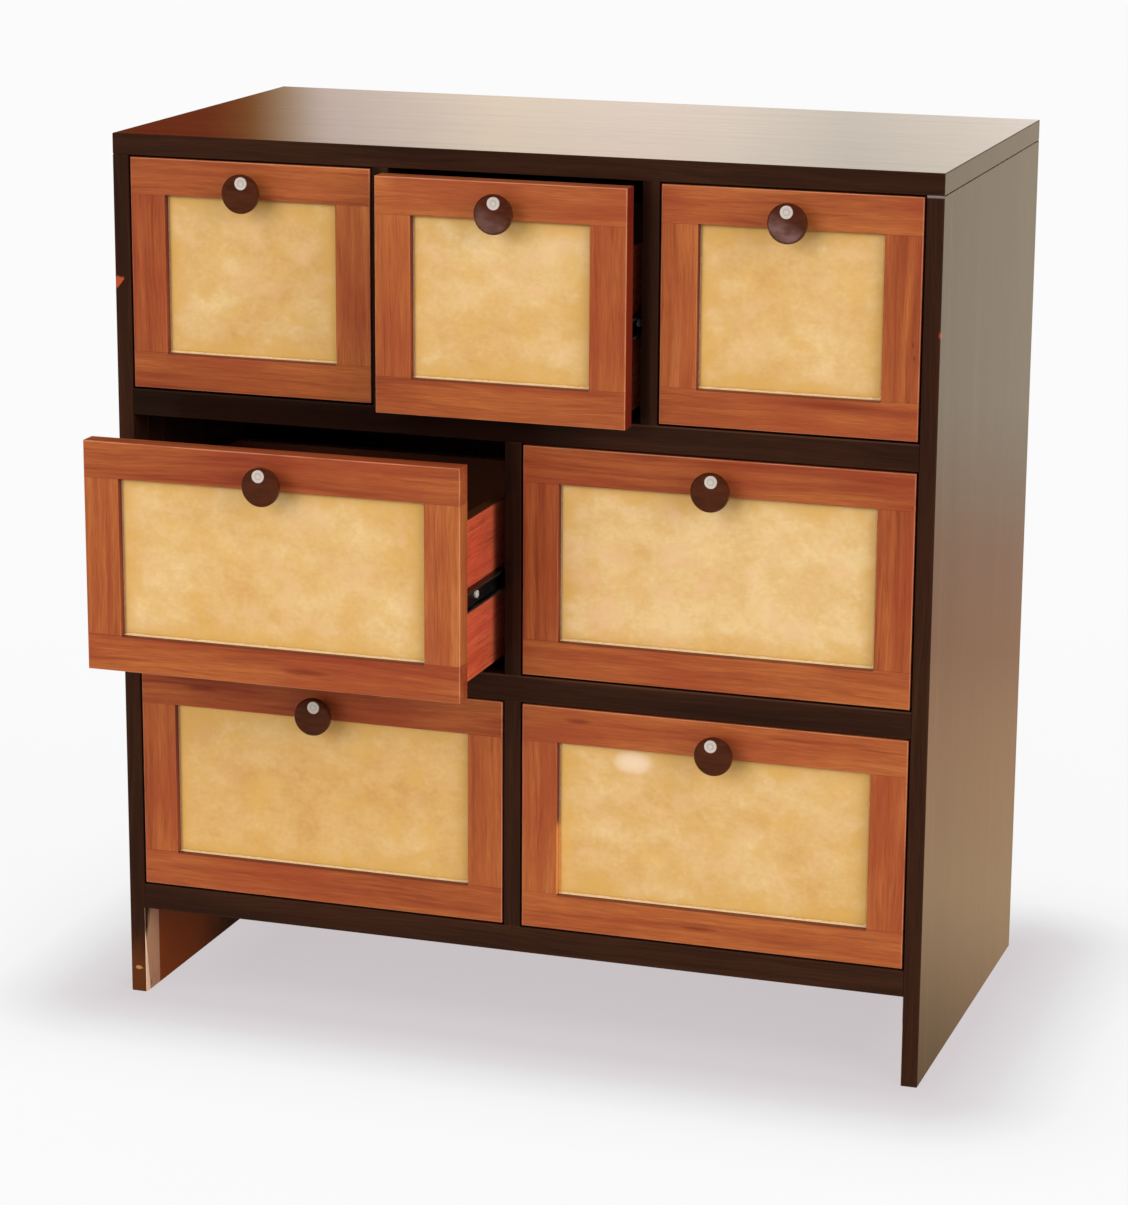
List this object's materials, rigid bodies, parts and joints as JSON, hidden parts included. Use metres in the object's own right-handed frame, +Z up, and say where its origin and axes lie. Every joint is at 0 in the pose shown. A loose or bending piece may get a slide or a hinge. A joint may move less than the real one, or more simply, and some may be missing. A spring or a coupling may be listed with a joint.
{
  "type": "sewing thread drawer cabinet",
  "caption": "Dark wooden chest with rows of small framed drawers, papered panels and round knobs; it stands on its two side boards, and each drawer slides out on steel runners.",
  "frame": {"origin": "on the floor, under the middle of the box that bounds the chest with two of its drawers standing open", "axes": "+X right seen from the front, +Y to the back, +Z up; the drawers pull out along -Y"},
  "size_m": [0.6, 0.422, 0.641],
  "materials": {
    "case_wood": "dark stain under gloss lacquer",
    "drawer_wood": "red-brown stain under gloss lacquer",
    "box_wood": "red-brown stain, satin",
    "knob_wood": "dark red-brown, polished",
    "gold_paper": "mottled handmade paper under lacquer",
    "pearl": "pale disc, polished",
    "black_steel": "black, satin",
    "bright_steel": "plated screws"
  },
  "bodies": {
    "carcase": {"top_board": "case_wood", "left_side": "case_wood", "right_side": "case_wood", "side_lippings": "case_wood", "upper_shelf": "case_wood", "lower_shelf": "case_wood", "bottom_board": "case_wood", "back_panel": "case_wood", "dividers": "case_wood", "slide_channels": "black_steel", "slide_screws": "bright_steel"},
    "upper_left": {"upper_left_frame": "drawer_wood", "upper_left_panel": "gold_paper", "upper_left_box": "box_wood", "upper_left_knob": "knob_wood", "upper_left_inlay": "pearl", "upper_left_slides": "black_steel", "upper_left_screws": "bright_steel"},
    "upper_middle": {"upper_middle_frame": "drawer_wood", "upper_middle_panel": "gold_paper", "upper_middle_box": "box_wood", "upper_middle_knob": "knob_wood", "upper_middle_inlay": "pearl", "upper_middle_slides": "black_steel", "upper_middle_screws": "bright_steel"},
    "upper_right": {"upper_right_frame": "drawer_wood", "upper_right_panel": "gold_paper", "upper_right_box": "box_wood", "upper_right_knob": "knob_wood", "upper_right_inlay": "pearl", "upper_right_slides": "black_steel", "upper_right_screws": "bright_steel"},
    "middle_left": {"middle_left_frame": "drawer_wood", "middle_left_panel": "gold_paper", "middle_left_box": "box_wood", "middle_left_knob": "knob_wood", "middle_left_inlay": "pearl", "middle_left_slides": "black_steel", "middle_left_screws": "bright_steel"},
    "middle_right": {"middle_right_frame": "drawer_wood", "middle_right_panel": "gold_paper", "middle_right_box": "box_wood", "middle_right_knob": "knob_wood", "middle_right_inlay": "pearl", "middle_right_slides": "black_steel", "middle_right_screws": "bright_steel"},
    "lower_left": {"lower_left_frame": "drawer_wood", "lower_left_panel": "gold_paper", "lower_left_box": "box_wood", "lower_left_knob": "knob_wood", "lower_left_inlay": "pearl", "lower_left_slides": "black_steel", "lower_left_screws": "bright_steel"},
    "lower_right": {"lower_right_frame": "drawer_wood", "lower_right_panel": "gold_paper", "lower_right_box": "box_wood", "lower_right_knob": "knob_wood", "lower_right_inlay": "pearl", "lower_right_slides": "black_steel", "lower_right_screws": "bright_steel"}
  },
  "joints": [
    {"name": "upper_left_pull", "type": "slide", "parent": "carcase", "child": "upper_left", "axis": [0, -1, 0], "range_m": [0, 0.15]},
    {"name": "upper_middle_pull", "type": "slide", "parent": "carcase", "child": "upper_middle", "axis": [0, -1, 0], "range_m": [-0.03, 0.12]},
    {"name": "upper_right_pull", "type": "slide", "parent": "carcase", "child": "upper_right", "axis": [0, -1, 0], "range_m": [0, 0.15]},
    {"name": "middle_left_pull", "type": "slide", "parent": "carcase", "child": "middle_left", "axis": [0, -1, 0], "range_m": [-0.088, 0.062]},
    {"name": "middle_right_pull", "type": "slide", "parent": "carcase", "child": "middle_right", "axis": [0, -1, 0], "range_m": [0, 0.15]},
    {"name": "lower_left_pull", "type": "slide", "parent": "carcase", "child": "lower_left", "axis": [0, -1, 0], "range_m": [0, 0.15]},
    {"name": "lower_right_pull", "type": "slide", "parent": "carcase", "child": "lower_right", "axis": [0, -1, 0], "range_m": [0, 0.15]}
  ]
}
